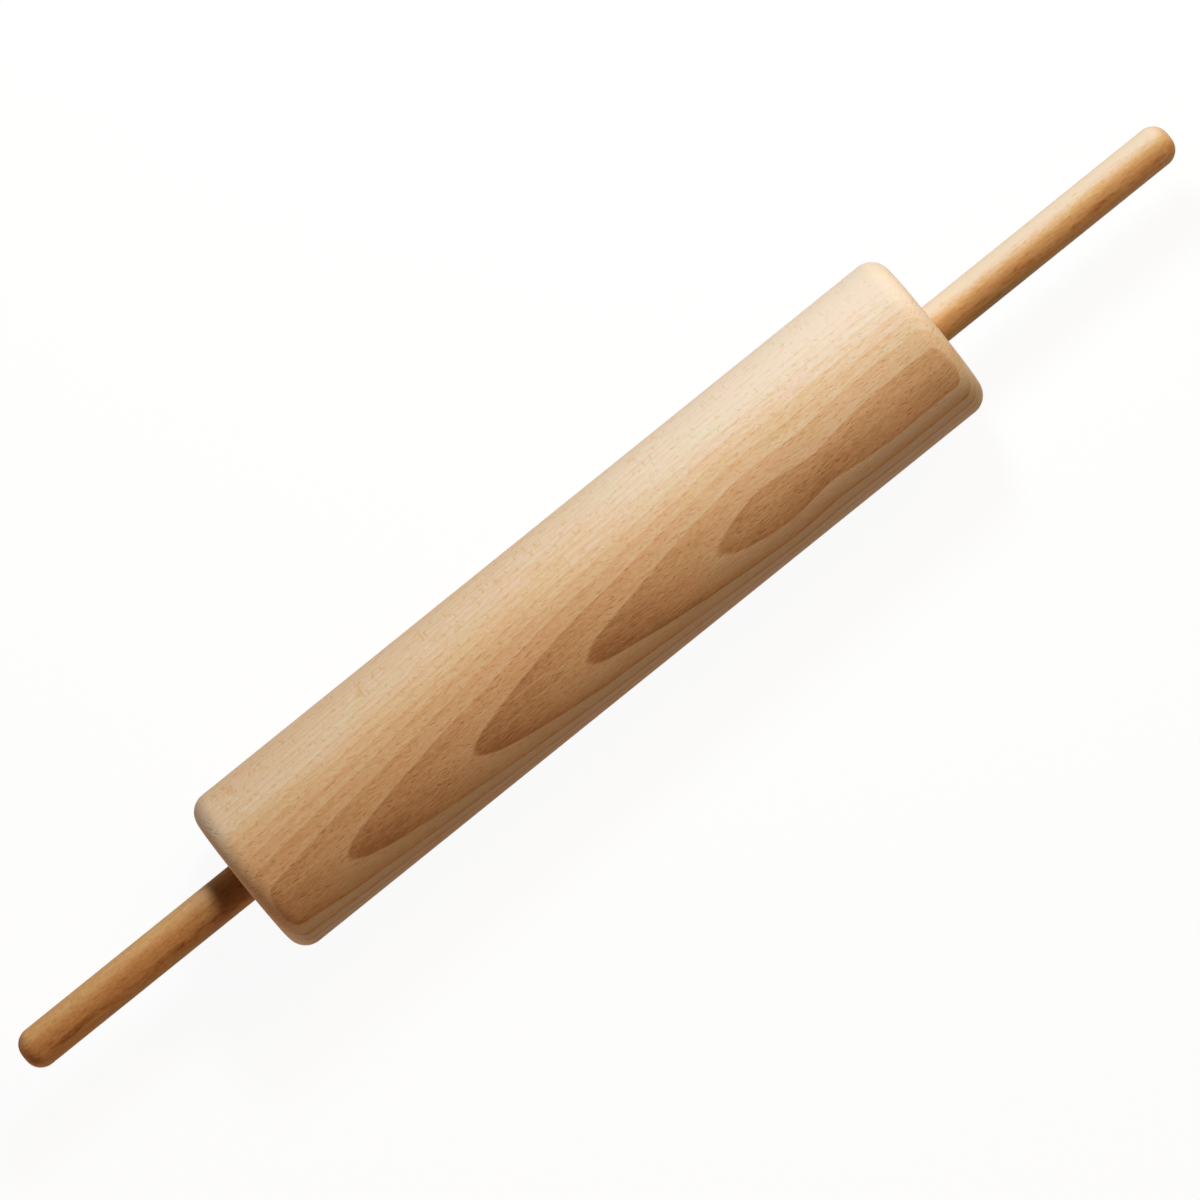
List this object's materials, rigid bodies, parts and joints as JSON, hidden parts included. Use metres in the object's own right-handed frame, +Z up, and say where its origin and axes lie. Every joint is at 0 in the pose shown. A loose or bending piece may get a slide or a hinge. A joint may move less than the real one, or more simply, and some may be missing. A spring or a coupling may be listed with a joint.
{
  "type": "rolling pin",
  "caption": "Wooden rolling pin: a thick barrel with rounded rims turns freely on a slim straight axle whose rounded ends are the handles.",
  "frame": {"origin": "on the worktop, under the middle of the axle, with the pin lying on its barrel", "axes": "+X along the axle towards the longer handle, +Z up, +Y across the pin"},
  "size_m": [0.44, 0.056, 0.0559],
  "materials": {
    "barrel_beech": "fine-sanded, unvarnished",
    "axle_beech": "fine-sanded and oiled, a little darker than the barrel",
    "nylon": "natural, machined"
  },
  "bodies": {
    "axle": {"axle": "axle_beech", "left_stop_collar": "axle_beech", "right_stop_collar": "axle_beech", "left_thrust_washer": "nylon", "right_thrust_washer": "nylon"},
    "barrel": {"barrel": "barrel_beech", "left_bearing_sleeve": "nylon", "right_bearing_sleeve": "nylon"}
  },
  "joints": [
    {"name": "barrel_spin", "type": "hinge", "parent": "axle", "child": "barrel", "pos_m": [0, 0, 0.02797], "axis": [1, 0, 0], "continuous": true}
  ]
}
